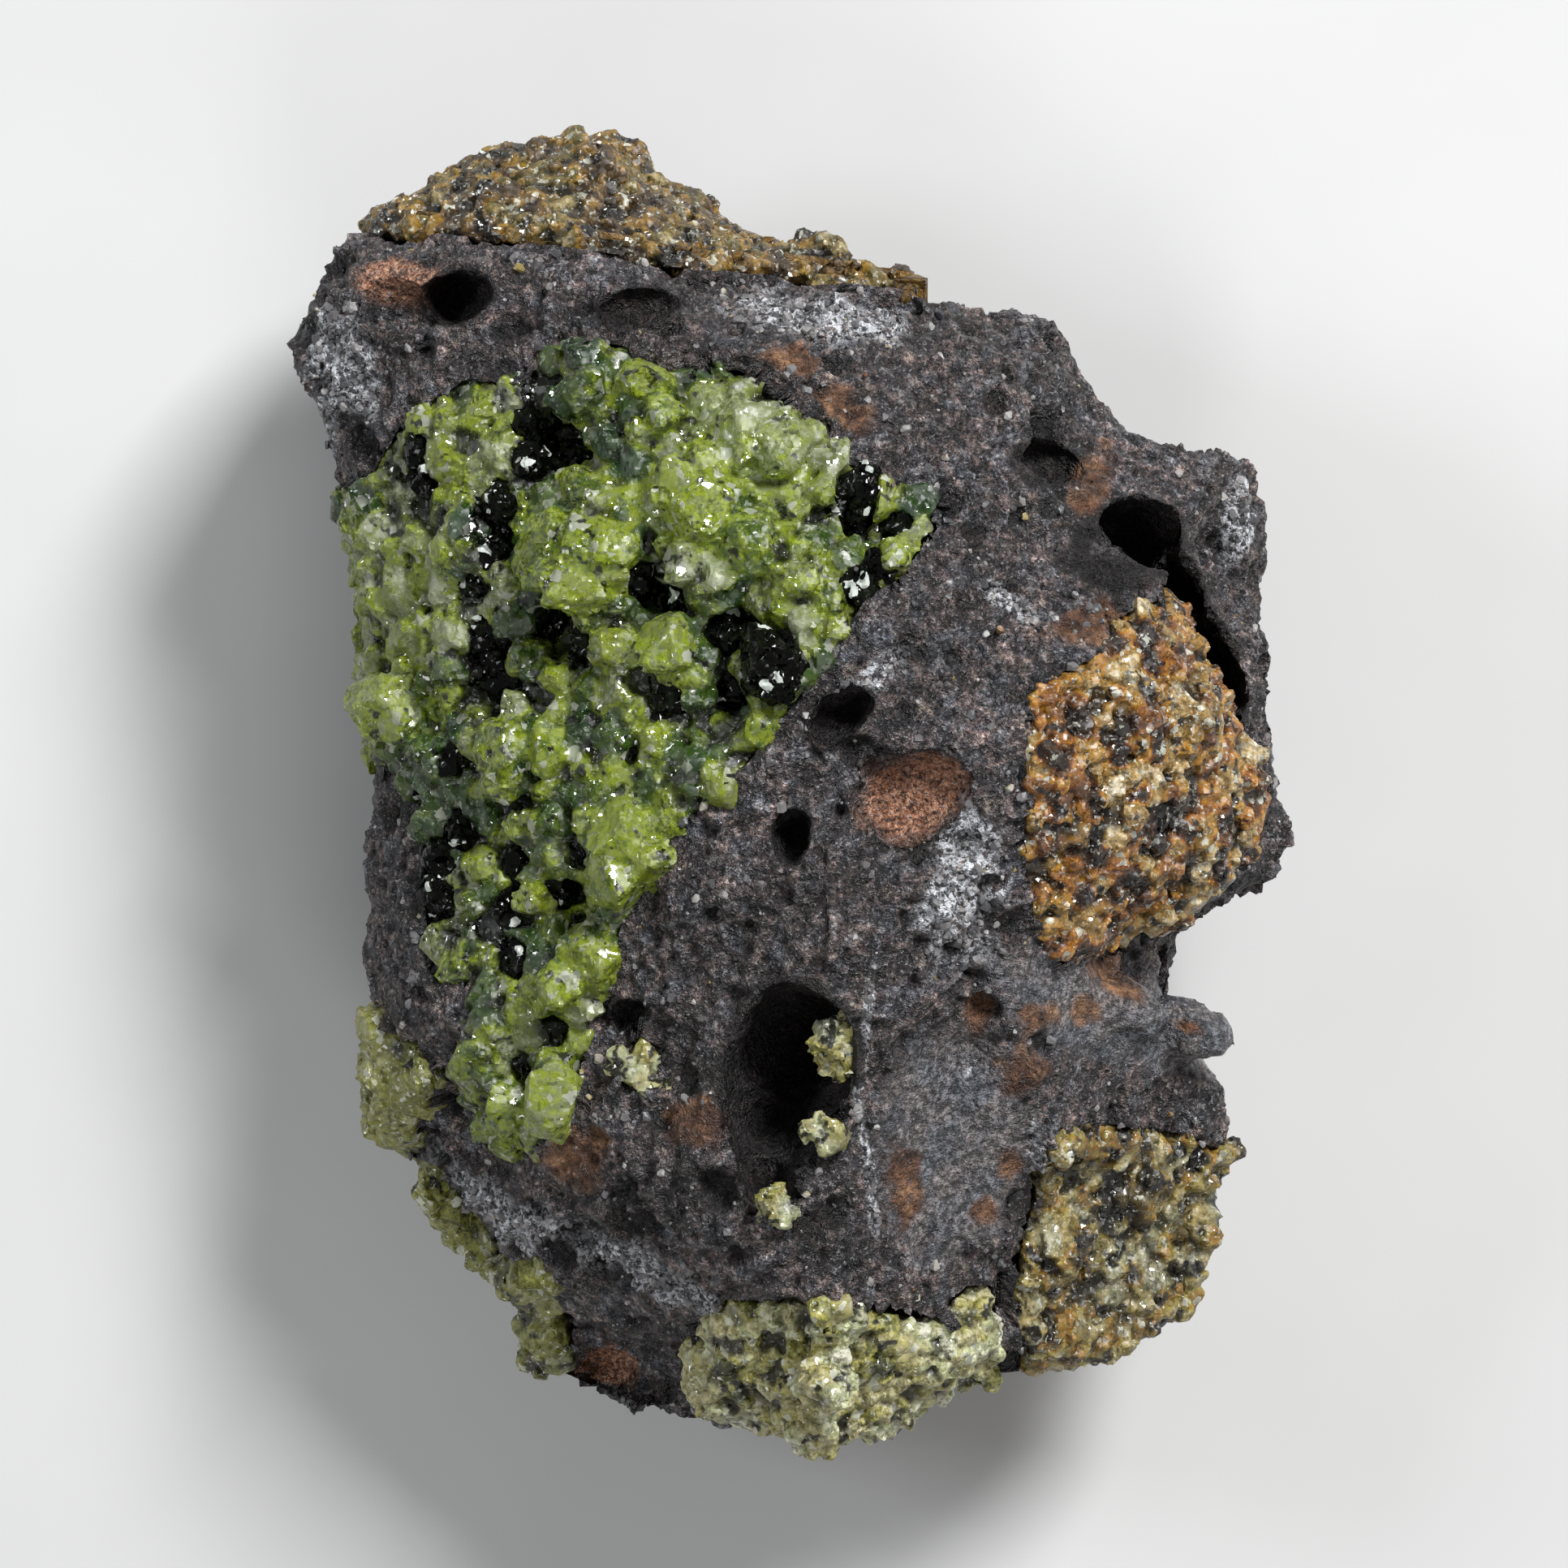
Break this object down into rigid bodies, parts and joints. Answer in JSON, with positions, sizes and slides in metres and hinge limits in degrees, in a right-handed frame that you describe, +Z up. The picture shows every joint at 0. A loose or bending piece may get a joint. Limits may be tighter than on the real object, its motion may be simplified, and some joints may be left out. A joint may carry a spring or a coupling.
{
  "type": "peridot specimen in basalt",
  "caption": "Dark, bubbly basalt hand specimen with lumps of granular green peridot, weathered orange lumps and black crystals, lying on its flat broken base.",
  "frame": {"origin": "on the resting surface, under the middle of the specimen's bounding box", "axes": "+Z up, out of the face in the picture; +Y along the longest side, towards the weathered top"},
  "size_m": [0.0412, 0.0546, 0.0261],
  "materials": {
    "basalt": "rough, finely speckled broken rock",
    "peridot": "glassy green crystal grains",
    "pale_peridot": "glassy pale yellow-green crystal grains",
    "weathered_olivine": "dull orange-brown crystal grains with black specks",
    "black_pyroxene": "glossy black crystal"
  },
  "bodies": {
    "root": {"basalt_matrix": "basalt", "peridot_main": "peridot", "peridot_bottom": "pale_peridot", "peridot_left": "pale_peridot", "peridot_lower_left": "pale_peridot", "olivine_top": "weathered_olivine", "olivine_right": "weathered_olivine", "olivine_lower_right": "weathered_olivine", "pyroxene_1": "black_pyroxene", "pyroxene_2": "black_pyroxene", "pyroxene_3": "black_pyroxene", "pyroxene_4": "black_pyroxene", "pyroxene_5": "black_pyroxene", "pyroxene_6": "black_pyroxene", "pyroxene_7": "black_pyroxene", "pyroxene_8": "black_pyroxene", "pyroxene_9": "black_pyroxene", "olivine_crystal_1": "pale_peridot", "olivine_crystal_2": "pale_peridot", "olivine_crystal_3": "pale_peridot", "olivine_crystal_4": "pale_peridot"}
  },
  "joints": []
}
